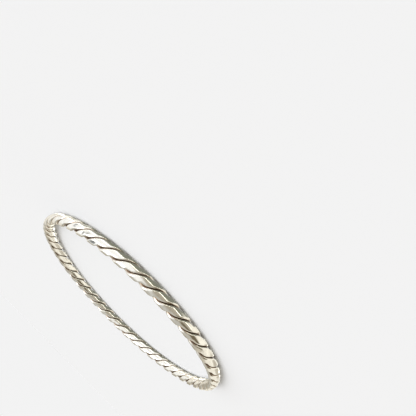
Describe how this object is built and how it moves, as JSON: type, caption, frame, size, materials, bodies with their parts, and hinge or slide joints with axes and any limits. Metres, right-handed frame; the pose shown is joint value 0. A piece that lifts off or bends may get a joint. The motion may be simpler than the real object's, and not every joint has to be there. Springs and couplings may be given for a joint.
{
  "type": "twisted wire bangle",
  "caption": "Closed bangle twisted from round metal wires and pressed a little flat, slipped over the hand and worn on the wrist.",
  "frame": {"origin": "middle of the ring, on the surface that the bangle lies on", "axes": "+Z along the ring's axis, upwards as the bangle lies on its side; +X and +Y across the ring"},
  "size_m": [0.0708, 0.0708, 0.0034],
  "materials": {
    "silver": "polished silver with fine wear, darker in the grooves"
  },
  "bodies": {
    "root": {"strand_1": "silver", "strand_2": "silver", "strand_3": "silver"}
  },
  "joints": []
}
